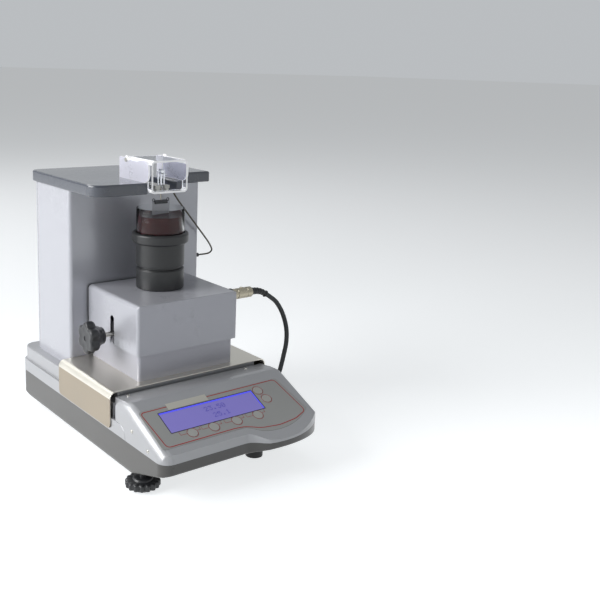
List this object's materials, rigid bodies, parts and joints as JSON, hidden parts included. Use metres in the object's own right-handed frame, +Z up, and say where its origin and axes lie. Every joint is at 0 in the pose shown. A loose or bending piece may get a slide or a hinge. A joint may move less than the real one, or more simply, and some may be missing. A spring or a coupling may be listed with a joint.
{
  "type": "surface tensiometer",
  "caption": "Bench surface tensiometer: sloping keypad base, scissor-lift stage with star knob and glass dish, plate hung on a wire from a weighing column under a flip-up clear hood.",
  "frame": {"origin": "centre of the part's footprint on the bench, cables and the plug on them left out", "axes": "+Z up; +X to the right and +Y away from someone who faces the display"},
  "size_m": [0.2796, 0.3902, 0.3512],
  "materials": {
    "tray_grey": "fine-grained dark grey moulding",
    "casing_silver": "satin silver-grey moulding",
    "saddle_steel": "brushed, fairly bright",
    "overlay_grey": "printed film, satin",
    "window_blue": "clear window over a blue-lit display",
    "module_grey": "display module",
    "board_green": "circuit board",
    "key_grey": "satin key caps",
    "screw_steel": "bright plated screws",
    "column_silver": "smooth silver paint on sheet steel",
    "cap_blue_grey": "glossy dark blue-grey",
    "cell_aluminium": "machined",
    "arm_grey": "matt light grey",
    "hook_chrome": "polished",
    "hood_clear": "clear acrylic with bright polished edges",
    "wire_steel": "thin drawn wire",
    "holder_black": "dark clip",
    "plate_grey": "roughened grey plate",
    "dish_glass": "clear glass",
    "cup_black": "satin black, turned",
    "cover_silver": "silver paint on sheet steel",
    "trim_black": "edge strip",
    "link_steel": "bright steel links and screw",
    "nut_brass": "brass nut",
    "knob_black": "moulded black grip",
    "socket_black": "black fittings",
    "plug_beige": "warm satin nickel shell",
    "cable_grey": "round dark grey sheath",
    "thin_cable_brown": "thin sheath",
    "foot_rubber": "soft black pads"
  },
  "bodies": {
    "base": {"lower_tray": "tray_grey", "rear_casing": "casing_silver", "front_casing": "casing_silver", "saddle_plate": "saddle_steel", "panel_overlay": "overlay_grey", "display_window": "window_blue", "display_module": "module_grey", "key_board": "board_green", "main_board": "board_green", "casing_screws": "screw_steel", "column_housing": "column_silver", "column_back": "column_silver", "cap": "cap_blue_grey", "cap_screws": "screw_steel", "weighing_cell": "cell_aluminium", "hanger_arm": "arm_grey", "hook_stand": "hook_chrome", "left_cheek": "column_silver", "right_cheek": "column_silver", "hood_pivots": "screw_steel", "lower_box": "cover_silver", "jack_base": "cell_aluminium", "cable_glands": "socket_black", "stage_cable": "cable_grey", "sensor_cable": "thin_cable_brown", "fixed_feet": "foot_rubber", "rear_sockets": "socket_black"},
    "stage": {"dish_holder": "cup_black", "pedestal": "cup_black", "pedestal_screws": "screw_steel", "stage_cover": "cover_silver", "cover_trim": "trim_black", "jack_top": "cell_aluminium", "stage_socket": "socket_black", "stage_plug": "plug_beige", "plug_relief": "socket_black"},
    "dish": {"dish": "dish_glass"},
    "hood": {"hood": "hood_clear"},
    "hook": {"hook": "hook_chrome"},
    "plate_hanger": {"hanger_wire": "wire_steel", "plate_holder": "holder_black", "measuring_plate": "plate_grey"},
    "lower_left_links": {"lower_arms_left": "link_steel"},
    "lower_right_links": {"lower_arms_right": "link_steel"},
    "upper_left_links": {"upper_arms_left": "link_steel"},
    "upper_right_links": {"upper_arms_right": "link_steel"},
    "screw_bearing": {"screw_block": "link_steel"},
    "lift_nut": {"nut_block": "nut_brass"},
    "lift_screw": {"lead_screw": "link_steel", "star_knob": "knob_black"},
    "left_foot_wheel": {"foot_wheel_left": "knob_black"},
    "right_foot_wheel": {"foot_wheel_right": "knob_black"},
    "left_foot_pad": {"foot_pad_left": "foot_rubber"},
    "right_foot_pad": {"foot_pad_right": "foot_rubber"},
    "key_1_cap": {"key_1": "key_grey"},
    "key_2_cap": {"key_2": "key_grey"},
    "key_3_cap": {"key_3": "key_grey"},
    "key_4_cap": {"key_4": "key_grey"},
    "key_5_cap": {"key_5": "key_grey"},
    "key_6_cap": {"key_6": "key_grey"}
  },
  "joints": [
    {"name": "stage_lift", "type": "slide", "parent": "base", "child": "stage", "axis": [0, 0, 1], "range_m": [-0.012, 0.01], "deforming": ["stage_cable"]},
    {"name": "dish_lift", "type": "slide", "parent": "stage", "child": "dish", "axis": [0, 0, 1], "range_m": [0, 0.006]},
    {"name": "hood_flip", "type": "hinge", "parent": "base", "child": "hood", "pos_m": [0, 0.0479, 0.346], "axis": [-1, 0, 0], "range_deg": [0, 100]},
    {"name": "hook_swing", "type": "hinge", "parent": "base", "child": "hook", "pos_m": [0.001, 0.0139, 0.334], "axis": [1, 0, 0], "range_deg": [-8, 8]},
    {"name": "wire_swing", "type": "hinge", "parent": "hook", "child": "plate_hanger", "pos_m": [0.001, 0.0139, 0.3137], "axis": [0, 1, 0], "range_deg": [-6, 6]},
    {"name": "lower_left_swing", "type": "hinge", "parent": "base", "child": "lower_left_links", "pos_m": [-0.008, 0.0054, 0.104], "axis": [0, 1, 0], "range_deg": [-10.72, 9.04]},
    {"name": "lower_right_swing", "type": "hinge", "parent": "base", "child": "lower_right_links", "pos_m": [0.008, 0.0054, 0.104], "axis": [0, 1, 0], "range_deg": [-9.04, 10.72]},
    {"name": "bearing_turn", "type": "hinge", "parent": "lower_left_links", "child": "screw_bearing", "pos_m": [-0.04196, 0.0054, 0.1407], "axis": [0, 1, 0], "range_deg": [-9.04, 10.72]},
    {"name": "nut_turn", "type": "hinge", "parent": "lower_right_links", "child": "lift_nut", "pos_m": [0.04196, 0.0054, 0.1407], "axis": [0, 1, 0], "range_deg": [-10.72, 9.04]},
    {"name": "upper_left_swing", "type": "hinge", "parent": "screw_bearing", "child": "upper_left_links", "pos_m": [-0.04196, 0.0054, 0.1407], "axis": [0, 1, 0], "range_deg": [-9.04, 10.72]},
    {"name": "upper_right_swing", "type": "hinge", "parent": "lift_nut", "child": "upper_right_links", "pos_m": [0.04196, 0.0054, 0.1407], "axis": [0, 1, 0], "range_deg": [-10.72, 9.04]},
    {"name": "knob_turn", "type": "hinge", "parent": "screw_bearing", "child": "lift_screw", "pos_m": [-0.04196, 0.0054, 0.1407], "axis": [1, 0, 0], "range_deg": [-2400, 2000]},
    {"name": "left_foot_height", "type": "slide", "parent": "base", "child": "left_foot_pad", "axis": [0, 0, -1], "range_m": [-0.001, 0.006]},
    {"name": "left_foot_turn", "type": "hinge", "parent": "left_foot_pad", "child": "left_foot_wheel", "pos_m": [-0.1, -0.1181, 0.008], "axis": [0, 0, -1], "range_deg": [-300, 1750]},
    {"name": "right_foot_height", "type": "slide", "parent": "base", "child": "right_foot_pad", "axis": [0, 0, -1], "range_m": [-0.001, 0.006]},
    {"name": "right_foot_turn", "type": "hinge", "parent": "right_foot_pad", "child": "right_foot_wheel", "pos_m": [0.088, 0.1659, 0.008], "axis": [0, 0, -1], "range_deg": [-300, 1750]},
    {"name": "key_1_press", "type": "slide", "parent": "base", "child": "key_1_cap", "axis": [0, 0.4027, -0.9153], "range_m": [0, 0.0005], "stiffness_N_per_m": 400, "springref_m": -0.0005},
    {"name": "key_2_press", "type": "slide", "parent": "base", "child": "key_2_cap", "axis": [0, 0.4027, -0.9153], "range_m": [0, 0.0005], "stiffness_N_per_m": 400, "springref_m": -0.0005},
    {"name": "key_3_press", "type": "slide", "parent": "base", "child": "key_3_cap", "axis": [0, 0.4027, -0.9153], "range_m": [0, 0.0005], "stiffness_N_per_m": 400, "springref_m": -0.0005},
    {"name": "key_4_press", "type": "slide", "parent": "base", "child": "key_4_cap", "axis": [0, 0.4027, -0.9153], "range_m": [0, 0.0005], "stiffness_N_per_m": 400, "springref_m": -0.0005},
    {"name": "key_5_press", "type": "slide", "parent": "base", "child": "key_5_cap", "axis": [0, 0.4027, -0.9153], "range_m": [0, 0.0005], "stiffness_N_per_m": 400, "springref_m": -0.0005},
    {"name": "key_6_press", "type": "slide", "parent": "base", "child": "key_6_cap", "axis": [0, 0.4027, -0.9153], "range_m": [0, 0.0005], "stiffness_N_per_m": 400, "springref_m": -0.0005}
  ],
  "couplings": [
    {"joint": "lower_left_swing", "follows": "stage_lift", "rad_per_m": 14.724},
    {"joint": "lower_right_swing", "follows": "stage_lift", "rad_per_m": -14.724},
    {"joint": "bearing_turn", "follows": "stage_lift", "rad_per_m": -14.724},
    {"joint": "nut_turn", "follows": "stage_lift", "rad_per_m": 14.724},
    {"joint": "upper_left_swing", "follows": "stage_lift", "rad_per_m": -14.724},
    {"joint": "upper_right_swing", "follows": "stage_lift", "rad_per_m": 14.724},
    {"joint": "knob_turn", "follows": "stage_lift", "rad_per_m": 3395.3},
    {"joint": "left_foot_turn", "follows": "left_foot_height", "rad_per_m": 5026.5},
    {"joint": "right_foot_turn", "follows": "right_foot_height", "rad_per_m": 5026.5}
  ]
}
